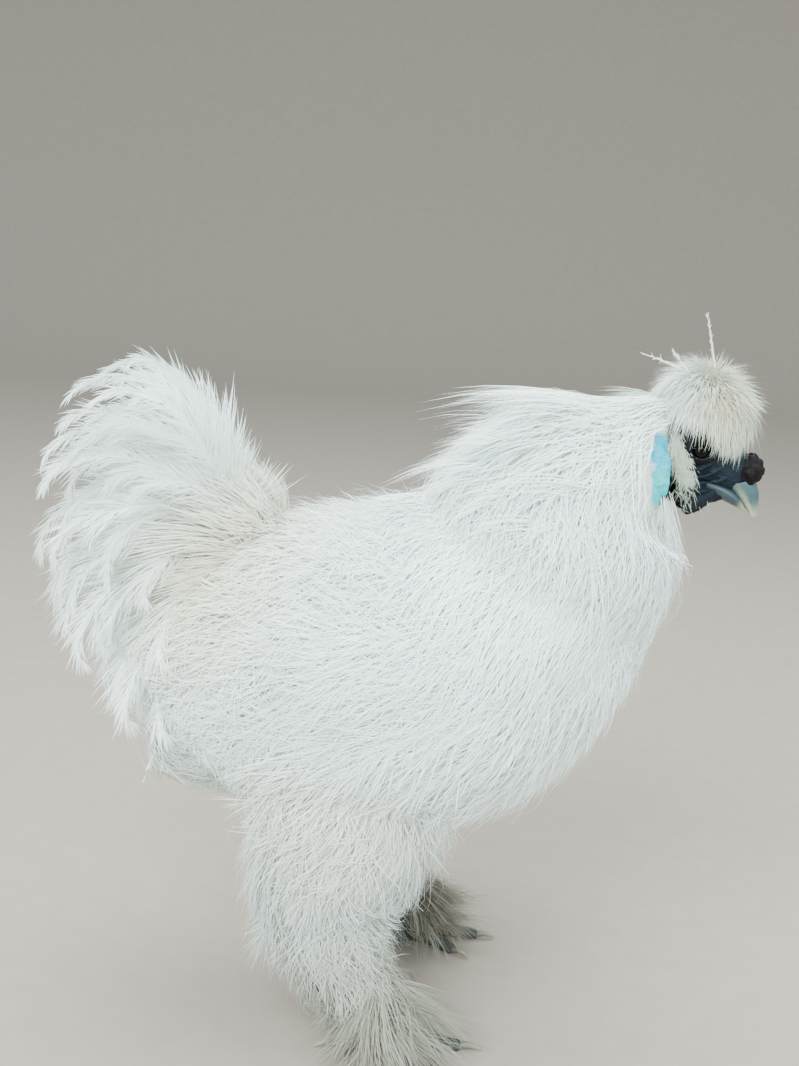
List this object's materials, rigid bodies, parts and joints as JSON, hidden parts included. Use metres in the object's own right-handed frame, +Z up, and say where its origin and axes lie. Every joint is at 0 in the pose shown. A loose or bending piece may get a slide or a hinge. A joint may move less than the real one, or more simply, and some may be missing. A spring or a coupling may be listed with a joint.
{
  "type": "silkie cockerel",
  "caption": "Still, life-size white silkie cockerel standing on both feet, with a puffed crest, walnut comb, blue earlobes, fluffy hackle, fanned tail and feathered legs.",
  "frame": {"origin": "on the floor, under the middle of the bird's bounding box", "axes": "+X forward to the beak, +Y to the bird's left, +Z up"},
  "size_m": [0.375, 0.2246, 0.382],
  "materials": {
    "white_feather": "soft silky white plumage",
    "cream_feather": "short cream down",
    "slate_skin": "wrinkled blue-black skin",
    "comb_skin": "bulbed dark mulberry skin",
    "lobe_skin": "soft turquoise skin",
    "foot_skin": "scaled slate skin",
    "beak_horn": "satin slate horn",
    "claw_horn": "satin pale horn",
    "eye": "wet black"
  },
  "bodies": {
    "root": {"comb": "comb_skin", "beak_upper": "beak_horn", "beak_lower": "beak_horn", "eye_right": "eye", "eye_left": "eye", "earlobe_right": "lobe_skin", "earlobe_left": "lobe_skin", "wattle_right": "slate_skin", "wattle_left": "slate_skin", "head": "slate_skin", "muff_right": "cream_feather", "muff_left": "cream_feather", "crest": "cream_feather", "neck": "white_feather", "torso": "white_feather", "tail": "white_feather", "wing_right": "white_feather", "wing_left": "white_feather", "thigh_right": "white_feather", "thigh_left": "white_feather", "shank_right": "white_feather", "shank_left": "white_feather", "foot_right": "foot_skin", "foot_left": "foot_skin", "claw_right_1": "claw_horn", "claw_right_2": "claw_horn", "claw_right_3": "claw_horn", "claw_right_4": "claw_horn", "claw_right_5": "claw_horn", "claw_left_1": "claw_horn", "claw_left_2": "claw_horn", "claw_left_3": "claw_horn", "claw_left_4": "claw_horn", "claw_left_5": "claw_horn"}
  },
  "joints": []
}
